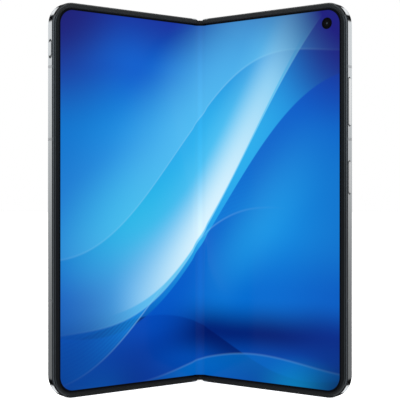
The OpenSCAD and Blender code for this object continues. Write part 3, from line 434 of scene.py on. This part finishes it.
def frame_material():
    """Polished silver side, with a darker chamfer and rim in front of it: painted reflection and shade.

    The walls of pockets are painted black as shade, and so are the gaps at the ends of the keys and the
    slider."""
    m, g, shader = material("silver_frame")
    along, depth, height = places(g)
    where = g.position()
    grain = g.noise(where, POLISH, 2.0)
    cloud = g.noise(where, 60.0, 3.0)
    silver = g.mix(cloud, srgb(212, 217, 220), srgb(224, 228, 231))
    front = is_front(g, depth)
    # painted reflection and shade on the chamfer and rim, which are less metallic
    tone = rail_front(g, along, height, srgb(36, 42, 46), srgb(90, 96, 101))
    edge = insets(g, along, height)[0]
    back = HALF_T - BACK_ROUND
    # painted shade: the walls of pockets black between the chamfer and the rounded back
    wall = g.mul(g.step(depth, CHAMFER + 0.06, CHAMFER + 0.12), g.step(depth, back - 0.05, back - 0.1))
    sunk_shade = g.mul(g.step(edge, 0.04, 0.08), g.step(edge, RIM_W + 0.1, RIM_W))
    pocket_shade = g.mul(sunk_shade, g.mul(wall, g.step(along, 8, 9)))
    # painted shade: at the slider's ends the gaps are black, along its sides the wall stays silver
    off = from_key(g, depth, height, SLIDER)[0]
    reach = SLIDER[1] / 2
    gap = g.mul(g.step(off, reach, reach + 0.1), g.step(off, reach + 0.5, reach + 0.4))
    slot = g.mul(g.step(g.position_x(), 0.0, -0.001), g.step(off, reach + 1.5, reach + 1.3))
    pocket_shade = g.mul(pocket_shade, g.add(g.sub(1.0, slot), g.mul(slot, gap)))
    for key in KEYS:
        reach = key[1] / 2
        off, past = from_key(g, depth, height, key)
        # painted shadow: a black ring beside the ends of the volume and power keys, in the rail's front
        # half
        ring = g.mul(g.step(past, 0.08, 0.12), g.step(past, 0.46, 0.38))
        ring = g.mul(ring, g.mul(g.step(off, reach - 0.9, reach - 0.6), g.step(depth, 2.05, 1.85)))
        pocket_shade = g.math("MAXIMUM", pocket_shade, g.mul(ring, g.step(g.position_x(), 0.0, 0.001)))
    g.put(shader.inputs["Base Color"], g.mix(pocket_shade, g.mix(front, silver, tone), srgb(10, 11, 12)))
    g.put(shader.inputs["Metallic"], g.math("SUBTRACT", 1.0, g.add(g.mul(front, 0.7), pocket_shade), clamp=True))
    g.put(shader.inputs["Roughness"], g.add(0.11, g.mul(grain, 0.06)))
    g.put(shader.inputs["Normal"], g.bump(grain, 0.1, FINE_GRAIN))
    return m


def band_material():
    """Antenna band: a shade darker than the metal side and lighter than its chamfer."""
    m, g, shader = material("antenna_band")
    along, depth, height = places(g)
    grain = g.noise(g.position(), MATT, 3.0)
    front = is_front(g, depth)
    # painted reflection and shade on the band's chamfer and rim, as on the metal
    tone = rail_front(g, along, height, srgb(80, 86, 90), srgb(90, 96, 100))
    g.put(shader.inputs["Base Color"], g.mix(front, srgb(184, 187, 190), tone))
    g.put(shader.inputs["Metallic"], g.step(front, 0.0, 1.0, 0.86, 0.2))
    g.put(shader.inputs["Roughness"], g.add(0.16, g.mul(grain, 0.08)))
    g.put(shader.inputs["Specular IOR Level"], 0.3)
    g.put(shader.inputs["Normal"], g.bump(grain, 0.1, FINE_GRAIN))
    return m


def bezel_material():
    """Dark rubber bezel, with a painted highlight on its rounded outer edge and its inner edge black."""
    m, g, shader = material("bezel_rubber")
    along, _, height = places(g)
    grain = g.noise(g.position(), MATT, 3.0)
    edge, lit = insets(g, along, height)
    # painted highlight on the outer edge along the sides
    side = g.mix(g.step(edge, 1.4, 1.48), srgb(64, 71, 75), srgb(16, 20, 22))
    # at the ends a fainter painted highlight on the outer edge
    end = g.mix(g.step(edge, 1.75, 1.95), srgb(34, 37, 39), srgb(19, 22, 24))
    # painted shade: the lower end darker
    end = g.mix(lower_end(g, height), end, (0.6, 0.6, 0.6), "MULTIPLY")
    tone = g.mix(away_from_ends(g, height), end, painted_shade_towards_foot(g, height, side))
    g.put(shader.inputs["Base Color"], g.mix(g.step(lit, -0.95, -0.75), tone, srgb(6, 8, 14)))
    g.put(shader.inputs["Roughness"], g.add(0.42, g.mul(grain, 0.16)))
    g.put(shader.inputs["Specular IOR Level"], 0.25)
    g.put(shader.inputs["Normal"], g.bump(grain, 0.3, FINE_GRAIN))
    return m


def key_material(name, low, high, black_all_round):
    """Polished key, painted dark as shade below the face of the rail, where the gap round it reads black.
    """
    m, g, shader = material(name)
    along, depth, height = places(g)
    where = g.position()
    grain = g.noise(where, POLISH, 2.0)
    cloud = g.noise(where, 240.0, 2.0)
    # painted shade on the part of the key below the face of the rail
    sunk_shade = g.mul(g.step(along, HALF_W - 0.02, HALF_W - 0.08), g.step(along, HALF_W - 3, HALF_W - 2.9))
    if not black_all_round:
        # on the slider that painted shade is fainter: 0.3 along its sides, 0.8 at its ends
        sunk_shade = g.mul(sunk_shade, g.step(from_key(g, depth, height, SLIDER)[0], 2.5, 2.8, 0.3, 0.8))
    g.put(shader.inputs["Base Color"], g.mix(sunk_shade, g.mix(cloud, low, high), srgb(10, 11, 12)))
    g.put(shader.inputs["Metallic"], g.sub(1.0, sunk_shade))
    g.put(shader.inputs["Roughness"], g.add(0.11, g.mul(grain, 0.06)))
    g.put(shader.inputs["Normal"], g.bump(grain, 0.1, FINE_GRAIN))
    return m


def plastic_material(name, low, high, rough, grain_scale=MATT):
    """Plain plastic between two colours, with a fine grain."""
    m, g, shader = material(name)
    where = g.position()
    grain = g.noise(where, grain_scale, 3.0)
    cloud = g.noise(where, 90.0, 3.0)
    g.put(shader.inputs["Base Color"], g.mix(cloud, low, high))
    g.put(shader.inputs["Roughness"], g.add(rough, g.mul(g.sub(grain, 0.5), 0.16)))
    g.put(shader.inputs["Normal"], g.bump(grain, 0.35, FINE_GRAIN))
    return m


def steel_material(name, low, high, rough, stretch=(200.0, 200.0, 12000.0)):
    """Brushed metal between two colours, its lines drawn by noise that is stretched along them."""
    m, g, shader = material(name)
    lines = g.noise(g.stretched(g.position(), stretch), 1.0, 3.0)
    g.put(shader.inputs["Base Color"], g.mix(lines, low, high))
    g.put(shader.inputs["Metallic"], 1.0)
    g.put(shader.inputs["Roughness"], g.add(rough, g.mul(lines, 0.14)))
    g.put(shader.inputs["Normal"], g.bump(lines, 0.15, FINE_GRAIN))
    return m


def back_glass_material():
    """Etched dark glass: soft sheen that shifts a little over the back."""
    m, g, shader = material("etched_back")
    where = g.position()
    grain = g.noise(where, 14000.0, 2.0)
    drift = g.noise(where, 14.0, 2.0)
    g.put(shader.inputs["Base Color"], g.mix(drift, srgb(44, 50, 58), srgb(58, 64, 74)))
    g.put(shader.inputs["Metallic"], 0.55)
    g.put(shader.inputs["Roughness"], g.add(0.36, g.mul(grain, 0.08)))
    g.put(shader.inputs["Coat Weight"], 0.25)
    g.put(shader.inputs["Coat Roughness"], 0.3)
    g.put(shader.inputs["Normal"], g.bump(grain, 0.12, 0.00001))
    return m


def cover_glass_material():
    """Black cover display behind polished glass, with a hole for its camera."""
    m, g, shader = material("cover_screen")
    along, _, height = places(g)
    r = g.reach(along, height, COVER_CAMERA)
    smear = g.noise(g.position(), 30.0, 4.0)
    base = g.ramp(g.math("DIVIDE", r, 3.0), [
        (0.0, (0.03, 0.04, 0.07)), (0.28, (0.006, 0.007, 0.012)), (0.5, (0.002, 0.002, 0.002)),
        (0.66, (0.03, 0.03, 0.032)), (0.72, (0.006, 0.006, 0.007)), (1.0, (0.006, 0.006, 0.007))])
    g.put(shader.inputs["Base Color"], base)
    g.put(shader.inputs["Roughness"], g.add(0.06, g.mul(smear, 0.08)))
    return m


def lens_material():
    """Dark coated lens glass: rings of the barrel and the front element under each window."""
    m, g, shader = material("lens_glass")
    along, _, height = places(g)
    r = None
    for lens in LENSES:
        one = g.reach(along, height, lens)
        r = one if r is None else g.math("MINIMUM", r, one)
    base = g.ramp(g.math("DIVIDE", r, 5.5), [
        (0.0, (0.02, 0.035, 0.08)), (0.2, (0.01, 0.012, 0.04)), (0.26, (0.001, 0.001, 0.002)),
        (0.36, (0.03, 0.018, 0.04)), (0.42, (0.002, 0.002, 0.003)), (0.6, (0.012, 0.012, 0.014)),
        (0.64, (0.002, 0.002, 0.002)), (0.75, (0.004, 0.004, 0.005)), (0.765, (0.32, 0.33, 0.34)),
        (1.0, (0.42, 0.43, 0.44))])
    ring = g.step(r, 4.13, 4.2)
    g.put(shader.inputs["Base Color"], base)
    g.put(shader.inputs["Metallic"], ring)
    g.put(shader.inputs["Roughness"], g.add(0.06, g.mul(ring, 0.2)))
    return m


def camera_hole_material():
    """Small camera behind the display: a black barrel, and a tinted front element that shines."""
    m, g, shader = material("inner_lens")
    along, _, height = places(g)
    r = g.reach(along, height, INNER_CAMERA)
    base = g.ramp(g.math("DIVIDE", r, 2.0), [
        (0.0, (0.03, 0.05, 0.06)), (0.16, (0.02, 0.03, 0.04)), (0.24, (0.002, 0.002, 0.003)),
        (0.5, (0.004, 0.004, 0.005)), (0.56, (0.0015, 0.0015, 0.002)), (1.0, (0.0015, 0.0015, 0.002))])
    g.put(shader.inputs["Base Color"], base)
    g.put(shader.inputs["Roughness"], g.step(r, 0.2, 1.1, 0.08, 0.3))
    g.put(shader.inputs["Specular IOR Level"], g.step(r, 0.25, 0.4, 0.5, 0.08))
    return m


def flash_material():
    """Ringed flash lens over a yellow lamp."""
    m, g, shader = material("flash_lens")
    along, _, height = places(g)
    r = g.reach(along, height, FLASH)
    rings = g.math("SINE", g.mul(r, 14.0))
    tone = g.ramp(g.math("DIVIDE", r, 2.5), [
        (0.0, (0.85, 0.74, 0.4)), (0.35, (0.85, 0.8, 0.62)), (0.6, (0.86, 0.85, 0.8)),
        (1.0, (0.7, 0.7, 0.68))])
    g.put(shader.inputs["Base Color"], tone)
    g.put(shader.inputs["Roughness"], 0.12)
    g.put(shader.inputs["Normal"], g.bump(rings, 0.5, 0.0001))
    return m


def board_material():
    """Green circuit board with paler tracks."""
    m, g, shader = material("circuit_board")
    where = g.position()
    cells = g.node("ShaderNodeTexVoronoi", feature="DISTANCE_TO_EDGE")
    g.put(cells.inputs["Vector"], where)
    g.put(cells.inputs["Scale"], 420.0)
    tracks = g.step(cells.outputs["Distance"], 0.02, 0.06)
    g.put(shader.inputs["Base Color"], g.mix(tracks, srgb(30, 110, 84), srgb(10, 62, 48)))
    g.put(shader.inputs["Roughness"], 0.38)
    g.put(shader.inputs["Normal"], g.bump(tracks, 0.3, 0.00003))
    return m


# painted highlight: the volume and power keys are the silver of the side, painted lighter
highlit_key = key_material("highlit_key", srgb(240, 243, 245), srgb(249, 251, 252), True)
silver_key = key_material("silver_key", srgb(212, 217, 220), srgb(224, 228, 231), False)
black = plastic_material("black_plastic", srgb(16, 17, 19), srgb(26, 28, 30), 0.5)
island_metal = steel_material("island_metal", srgb(62, 68, 76), srgb(74, 80, 88), 0.26,
                              (900.0, 900.0, 9000.0))
steel = steel_material("brushed_steel", srgb(176, 180, 184), srgb(200, 203, 206), 0.24)
bronze = steel_material("spring_bronze", srgb(190, 134, 82), srgb(212, 158, 104), 0.26)
film = plastic_material("amber_film", srgb(176, 108, 34), srgb(200, 128, 48), 0.3, 1600.0)
wrap = plastic_material("battery_wrap", srgb(38, 39, 43), srgb(50, 51, 56), 0.42, 2400.0)

dress(frame_material(), "right_frame", "left_frame", "hinge_spine_cover")
dress(highlit_key, "volume_rocker", "power_key")
dress(silver_key, "alert_slider", "card_tray")
dress(band_material(), "right_antenna_bands", "left_antenna_bands")
dress(bezel_material(), "right_bezel", "left_bezel")
dress(black, "hinge_end_caps", "loudspeaker", "earpiece_speaker", "slider_switch", "camera_modules",
      "cover_camera")
dress(back_glass_material(), "rear_cover")
dress(cover_glass_material(), "cover_glass", "cover_display")
dress(island_metal, "camera_island")
dress(lens_material(), "camera_lenses")
dress(camera_hole_material(), "inner_camera")
dress(flash_material(), "flash_lens")
dress(steel, "hinge_guide_blocks", "gear_bearing_plates", "centre_support_plate", "hinge_screws",
      "right_display_plate", "left_display_plate", "right_swing_arms", "left_swing_arms",
      "right_sync_guide", "left_sync_guide", "right_screws", "left_screws", "board_shields",
      "charging_socket", "vibration_motor", "card_reader", "right_sync_arm", "left_sync_arm",
      "right_idler_gear", "left_idler_gear", "right_wing_plate", "left_wing_plate")
dress(bronze, "friction_clips")
dress(film, "side_key_flex")
dress(board_material(), "main_board", "sub_board", "left_board")
dress(wrap, "right_battery", "left_battery")
dress(screen_material("screen_flat", False), "right_display", "left_display")


# ---------------------------------------------------------------- strips that bend over the hinge
def turned(x, y, angle):
    """A place in a half, turned about its fold axis by angle, in mm."""
    c, s = math.cos(angle), math.sin(angle)
    x, y = x - AXIS_X, y - AXIS_Y
    return AXIS_X + x * c + y * s, AXIS_Y - x * s + y * c


def weight(p, start, end):
    dx, dy = end[0] - start[0], end[1] - start[1]
    t = ((p[0] - start[0]) * dx + (p[1] - start[1]) * dy) / (dx * dx + dy * dy)
    t = min(1.0, max(0.0, t))
    return t * t * (3 - 2 * t)


def at_rest(x, y, start, end):
    """Where a place of the flat strip lies at rest: turned about the fold axis by its share of the tilt."""
    p = turned(x, y, TILT * weight((x, y), start, end))
    for _ in range(60):    # until the place and its share agree
        p = turned(x, y, TILT * weight(p, start, end))
    return p


def strip(name, side, rows, zs, flat_us, m, nodes_replaced):
    """A closed band through rows of (x, y) places in mm, between pairs of heights zs, on the half given by
    side.

    flat_us are its places across the fold when it is flat."""
    verts, faces, us = [], [], []
    front, back = rows
    n = len(front)
    for z0, z1 in zs:
        base = len(verts)
        for row in (front, back):
            for z in (z0, z1):
                for (x, y), u in zip(row, flat_us):
                    verts.append((side * x * MM, (y + SHIFT_Y) * MM, z * MM))
                    us.append(side * u)
        a, b, c, d = base, base + n, base + 2 * n, base + 3 * n
        for i in range(n - 1):
            faces.append((a + i, a + i + 1, b + i + 1, b + i))
            faces.append((c + i, d + i, d + i + 1, c + i + 1))
            faces.append((a + i, c + i, c + i + 1, a + i + 1))
            faces.append((b + i, b + i + 1, d + i + 1, d + i))
        faces.append((a, b, d, c))
        faces.append((a + n - 1, c + n - 1, d + n - 1, b + n - 1))
    if side < 0:
        faces = [tuple(reversed(f)) for f in faces]
    mesh = bpy.data.meshes.new(name)
    mesh.from_pydata(verts, [], faces)
    layer = mesh.attributes.new("flat_u", "FLOAT", "POINT")
    layer.data.foreach_set("value", us)
    mesh.materials.append(m)
    mesh.shade_smooth()
    mesh.set_sharp_from_angle(angle=math.radians(40))
    o = bpy.data.objects.new(name, mesh)
    bpy.context.scene.collection.objects.link(o)
    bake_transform(o)
    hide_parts(*nodes_replaced)


fold_screen = screen_material("screen_fold", True)
fold_start = (0.0, PANEL_Y)
fold_end = turned(FOLD_ZONE - 1.0, PANEL_Y, TILT)    # bends clear of the wing plates, also when shut
flat_us = [FOLD_ZONE * i / FOLD_STEPS for i in range(FOLD_STEPS + 1)]
fold_rows = [[at_rest(x, y, fold_start, fold_end) for x in flat_us] for y in (PANEL_Y, PLATE_Y)]
for side, name in ((1, "right_fold_strip"), (-1, "left_fold_strip")):
    strip(name, side, fold_rows, [(POCKET, BODY_H - POCKET)], flat_us, fold_screen,
          ["display_fold"])


def bezier(p, t):
    """The place at share t of a cubic curve with the four points p."""
    s = 1 - t
    return tuple(s ** 3 * a + 3 * t * s * s * b + 3 * t * t * s * c + t ** 3 * d for a, b, c, d in zip(*p))


WALL_X = FOLD_ZONE + 0.1 + 0.15 + 1.15         # where the flat cables go through the wall of a half
flex_path = [turned(WALL_X, FLEX_Y, TILT), turned(AXIS_X + 2.4, FLEX_Y, TILT),
             (AXIS_X + 1.9, BORE_FLOOR - 0.1), (AXIS_X, BORE_FLOOR)]
flex_front = [(0.0, BORE_FLOOR)]
flex_front += [bezier(flex_path, 1 - i / FLEX_STEPS) for i in range(FLEX_STEPS + 1)]
flex_front.append(turned(WALL_X + 5, FLEX_Y, TILT))
flex_back = [(x, y + FLEX_T) for x, y in flex_front]
flex_us = list(range(len(flex_front)))
flex_zs = [(MIDDLE - 24, MIDDLE - 18), (MIDDLE + 18, MIDDLE + 24)]
for side, name in ((1, "right_flat_cables"), (-1, "left_flat_cables")):
    strip(name, side, [flex_front, flex_back], flex_zs, flex_us, film, ["hinge_flex"])


# ---------------------------------------------------------------- floor, light and camera
def rays(g):
    """1 for what the camera sees, and 1 for what metal and glass show of it."""
    path = g.node("ShaderNodeLightPath").outputs
    return path["Is Camera Ray"], g.math("MAXIMUM", path["Is Glossy Ray"], path["Is Transmission Ray"])


def floor():
    """A pale floor that the camera sees as white, apart from the phone's shadow."""
    bpy.ops.mesh.primitive_plane_add(size=12, location=(0, 0, 0))
    o = bpy.context.object
    o.name = "floor"
    o.visible_glossy = False
    m, g, shader = material("pale_floor")
    cloud = g.noise(g.position(), 3.0, 2.0)
    g.put(shader.inputs["Base Color"], g.mix(cloud, (0.93, 0.93, 0.93), (0.95, 0.95, 0.95)))
    g.put(shader.inputs["Roughness"], 0.9)
    g.put(shader.inputs["Specular IOR Level"], 0.1)
    g.put(shader.inputs["Emission Color"], WHITE)
    g.put(shader.inputs["Emission Strength"], g.mul(g.math("MAXIMUM", *rays(g)), 0.86))
    o.data.materials.append(m)


def world():
    """White to the camera, and straight behind the phone also in metal and glass.

    For light: tall side panels fading downwards, strips above them, a dim front."""
    w = bpy.data.worlds.new("studio")
    bpy.context.scene.world = w
    w.use_nodes = True
    w.node_tree.nodes.clear()
    g = Graph(w.node_tree)
    x, y, z = g.xyz(g.node("ShaderNodeTexCoord").outputs["Generated"])
    side = g.math("ABSOLUTE", x)
    panel = g.add(g.step(z, -0.16, 0.2, 0.2, 0.9), g.step(side, 0.75, 0.5, 0.0, 0.25))
    level = g.math("ABSOLUTE", z)
    strip_high = g.mul(g.step(level, 0.44, 0.48), g.step(level, 0.72, 0.62))
    strip_light = g.mul(strip_high, g.mul(g.step(side, 0.3, 0.35), g.step(side, 0.7, 0.65)))
    back = g.add(g.mul(panel, g.step(level, 0.33, 0.26)), g.mul(strip_light, 1.05))
    front = g.add(g.step(y, 0.2, -0.1, 0.004, 0.34), g.step(z, 0.78, 0.86, 0.0, 0.5))
    light = g.add(g.mul(back, g.step(y, -0.1, 0.25)), front)
    studio = g.node("ShaderNodeBackground")
    g.put(studio.inputs["Color"], WHITE)
    g.put(studio.inputs["Strength"], light)
    seen = g.node("ShaderNodeBackground")
    g.put(seen.inputs["Color"], WHITE)
    g.put(seen.inputs["Strength"], 1.0)
    pick = g.node("ShaderNodeMixShader")
    direct, mirrored = rays(g)
    behind = g.mul(g.step(y, 0.93, 0.96), g.step(level, 0.25, 0.2))
    g.put(pick.inputs[0], g.math("MAXIMUM", direct, g.mul(mirrored, behind)))
    g.put(pick.inputs[1], studio.outputs[0])
    g.put(pick.inputs[2], seen.outputs[0])
    g.put(g.node("ShaderNodeOutputWorld").inputs[0], pick.outputs[0])


def area(name, place, target, size, power):
    """A soft lamp of that size in metres and power in watts, which no metal shows."""
    data = bpy.data.lights.new(name, "AREA")
    data.shape = "RECTANGLE"
    data.size, data.size_y = size
    data.energy = power
    o = bpy.data.objects.new(name, data)
    bpy.context.scene.collection.objects.link(o)
    o.location = place
    o.rotation_euler = (Vector(target) - Vector(place)).to_track_quat("-Z", "Y").to_euler()
    o.visible_glossy = False


floor()
world()
area("top_softbox", (0, 0.05, 0.9), (0, 0, 0), (1.2, 1.2), 5)
area("left_softbox", (-0.8, 0.25, 0.55), (0, 0, 0.09), (0.5, 0.7), 3)
area("right_softbox", (0.8, 0.25, 0.55), (0, 0, 0.09), (0.5, 0.7), 3)
area("front_softbox", (0, -1.3, 0.75), (0, 0, 0.08), (1.6, 1.0), 9)

camera_data = bpy.data.cameras.new("camera")
camera_data.sensor_width = 36
camera_data.lens = FOCAL / PHOTO_W * camera_data.sensor_width
camera_data.clip_start = 0.01
camera = bpy.data.objects.new("camera", camera_data)
bpy.context.scene.collection.objects.link(camera)
camera.location = (0, -0.42623, 0.07809)
camera.rotation_euler = (math.pi / 2, 0, 0)
bpy.context.scene.camera = camera
bpy.context.scene.view_settings.view_transform = "Standard"
